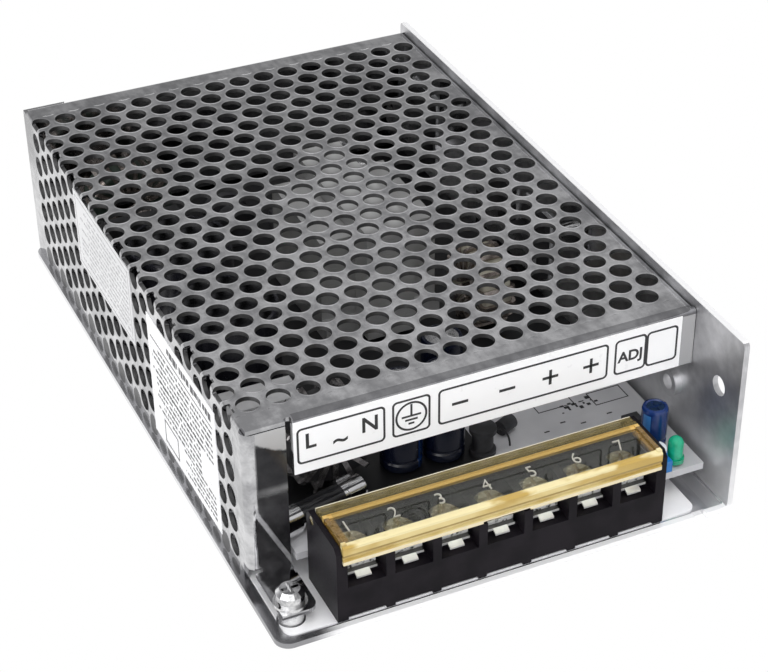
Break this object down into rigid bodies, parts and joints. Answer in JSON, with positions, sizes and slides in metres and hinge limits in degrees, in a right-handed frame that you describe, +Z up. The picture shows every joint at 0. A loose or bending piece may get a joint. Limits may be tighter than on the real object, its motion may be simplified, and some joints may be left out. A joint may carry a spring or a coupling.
{
  "type": "switching power supply",
  "caption": "Enclosed switching power supply: folded perforated sheet cover on an L-shaped chassis, with a screw terminal block under a clear flip lid.",
  "frame": {"origin": "middle of the underside of the base", "axes": "+X towards the heat-sink wall, +Y from the terminals to the back, +Z up"},
  "size_m": [0.0976, 0.1544, 0.0404],
  "materials": {
    "chassis_aluminium": "satin sheet with a fine grain",
    "cover_steel": "bright plated sheet with a soft mottled grain",
    "zinc_steel": "bright zinc plate",
    "white_film": "white insulating film",
    "board_laminate": "pale board with dark print",
    "black_moulding": "black moulded plastic with a slight sheen",
    "nickel_contact": "bright nickel plate",
    "brass_screw": "plated brass",
    "amber_clear": "clear amber plastic",
    "green_lens": "green tinted lens",
    "blue_plastic": "blue moulded plastic",
    "white_plastic": "white moulded plastic",
    "blue_sleeve": "blue shrink sleeve",
    "dark_sleeve": "dark shrink sleeve",
    "clear_glass": "clear glass",
    "ferrite": "dull dark ferrite",
    "copper_wire": "enamelled copper",
    "dark_wire": "dark enamelled wire",
    "winding_tape": "pale winding tape",
    "yellow_box": "pale moulded box",
    "small_part_body": "dark moulded parts",
    "label_film": "white label film"
  },
  "bodies": {
    "case": {"base_chassis": "chassis_aluminium", "side_clinch_nuts": "zinc_steel", "mesh_cover": "cover_steel", "cover_side_screws": "zinc_steel", "foot_spacer": "zinc_steel", "foot_screw": "zinc_steel", "foot_lock_washer": "zinc_steel", "foot_washer": "zinc_steel", "insulating_sheet": "white_film", "circuit_board": "board_laminate", "board_standoffs": "zinc_steel", "board_screws": "zinc_steel", "terminal_block": "black_moulding", "terminal_contacts": "nickel_contact", "status_led": "green_lens", "trimmer_base": "blue_plastic", "trimmer_capacitor": "blue_sleeve", "output_capacitor_1": "blue_sleeve", "output_capacitor_2": "blue_sleeve", "output_capacitor_3": "blue_sleeve", "bulk_capacitor_1": "dark_sleeve", "bulk_capacitor_2": "dark_sleeve", "fuse_tube": "clear_glass", "fuse_caps": "nickel_contact", "fuse_clips": "nickel_contact", "line_choke_core": "ferrite", "line_choke_winding": "dark_wire", "line_capacitor": "yellow_box", "bridge_rectifier": "black_moulding", "transformer_core": "ferrite", "transformer_winding": "winding_tape", "inductor_core": "ferrite", "inductor_winding": "copper_wire", "rear_choke_core": "ferrite", "rear_choke_winding": "copper_wire", "power_transistor": "black_moulding", "output_rectifiers": "black_moulding", "thermal_pads": "white_film", "clamp_bars": "nickel_contact", "small_parts": "small_part_body", "front_label": "label_film", "side_labels": "label_film"},
    "lid": {"terminal_lid": "amber_clear"},
    "trimmer_adjuster": {"trimmer_rotor": "white_plastic"},
    "clamp_1": {"clamp_plate_1": "nickel_contact"},
    "screw_1": {"terminal_screw_1": "brass_screw"},
    "clamp_2": {"clamp_plate_2": "nickel_contact"},
    "screw_2": {"terminal_screw_2": "brass_screw"},
    "clamp_3": {"clamp_plate_3": "nickel_contact"},
    "screw_3": {"terminal_screw_3": "brass_screw"},
    "clamp_4": {"clamp_plate_4": "nickel_contact"},
    "screw_4": {"terminal_screw_4": "brass_screw"},
    "clamp_5": {"clamp_plate_5": "nickel_contact"},
    "screw_5": {"terminal_screw_5": "brass_screw"},
    "clamp_6": {"clamp_plate_6": "nickel_contact"},
    "screw_6": {"terminal_screw_6": "brass_screw"},
    "clamp_7": {"clamp_plate_7": "nickel_contact"},
    "screw_7": {"terminal_screw_7": "brass_screw"}
  },
  "joints": [
    {"name": "lid_hinge", "type": "hinge", "parent": "case", "child": "lid", "pos_m": [0, -0.0643, 0.0175], "axis": [-1, 0, 0], "range_deg": [0, 90]},
    {"name": "trimmer_turn", "type": "hinge", "parent": "case", "child": "trimmer_adjuster", "pos_m": [0.0363, -0.0666, 0.0095], "axis": [0, 0, 1], "range_deg": [-130, 130]},
    {"name": "clamp_1_lift", "type": "slide", "parent": "case", "child": "clamp_1", "axis": [0, 0, 1], "range_m": [0, 0.0021]},
    {"name": "screw_1_turn", "type": "hinge", "parent": "clamp_1", "child": "screw_1", "pos_m": [-0.0305, -0.0691, 0.012], "axis": [0, 0, 1], "range_deg": [0, 1080]},
    {"name": "clamp_2_lift", "type": "slide", "parent": "case", "child": "clamp_2", "axis": [0, 0, 1], "range_m": [0, 0.0021]},
    {"name": "screw_2_turn", "type": "hinge", "parent": "clamp_2", "child": "screw_2", "pos_m": [-0.0209, -0.0691, 0.012], "axis": [0, 0, 1], "range_deg": [0, 1080]},
    {"name": "clamp_3_lift", "type": "slide", "parent": "case", "child": "clamp_3", "axis": [0, 0, 1], "range_m": [0, 0.0021]},
    {"name": "screw_3_turn", "type": "hinge", "parent": "clamp_3", "child": "screw_3", "pos_m": [-0.0113, -0.0691, 0.012], "axis": [0, 0, 1], "range_deg": [0, 1080]},
    {"name": "clamp_4_lift", "type": "slide", "parent": "case", "child": "clamp_4", "axis": [0, 0, 1], "range_m": [0, 0.0021]},
    {"name": "screw_4_turn", "type": "hinge", "parent": "clamp_4", "child": "screw_4", "pos_m": [-0.0017, -0.0691, 0.012], "axis": [0, 0, 1], "range_deg": [0, 1080]},
    {"name": "clamp_5_lift", "type": "slide", "parent": "case", "child": "clamp_5", "axis": [0, 0, 1], "range_m": [0, 0.0021]},
    {"name": "screw_5_turn", "type": "hinge", "parent": "clamp_5", "child": "screw_5", "pos_m": [0.0079, -0.0691, 0.012], "axis": [0, 0, 1], "range_deg": [0, 1080]},
    {"name": "clamp_6_lift", "type": "slide", "parent": "case", "child": "clamp_6", "axis": [0, 0, 1], "range_m": [0, 0.0021]},
    {"name": "screw_6_turn", "type": "hinge", "parent": "clamp_6", "child": "screw_6", "pos_m": [0.0175, -0.0691, 0.012], "axis": [0, 0, 1], "range_deg": [0, 1080]},
    {"name": "clamp_7_lift", "type": "slide", "parent": "case", "child": "clamp_7", "axis": [0, 0, 1], "range_m": [0, 0.0021]},
    {"name": "screw_7_turn", "type": "hinge", "parent": "clamp_7", "child": "screw_7", "pos_m": [0.0271, -0.0691, 0.012], "axis": [0, 0, 1], "range_deg": [0, 1080]}
  ],
  "couplings": [
    {"joint": "screw_1_turn", "follows": "clamp_1_lift", "rad_per_m": 8976},
    {"joint": "screw_2_turn", "follows": "clamp_2_lift", "rad_per_m": 8976},
    {"joint": "screw_3_turn", "follows": "clamp_3_lift", "rad_per_m": 8976},
    {"joint": "screw_4_turn", "follows": "clamp_4_lift", "rad_per_m": 8976},
    {"joint": "screw_5_turn", "follows": "clamp_5_lift", "rad_per_m": 8976},
    {"joint": "screw_6_turn", "follows": "clamp_6_lift", "rad_per_m": 8976},
    {"joint": "screw_7_turn", "follows": "clamp_7_lift", "rad_per_m": 8976}
  ]
}
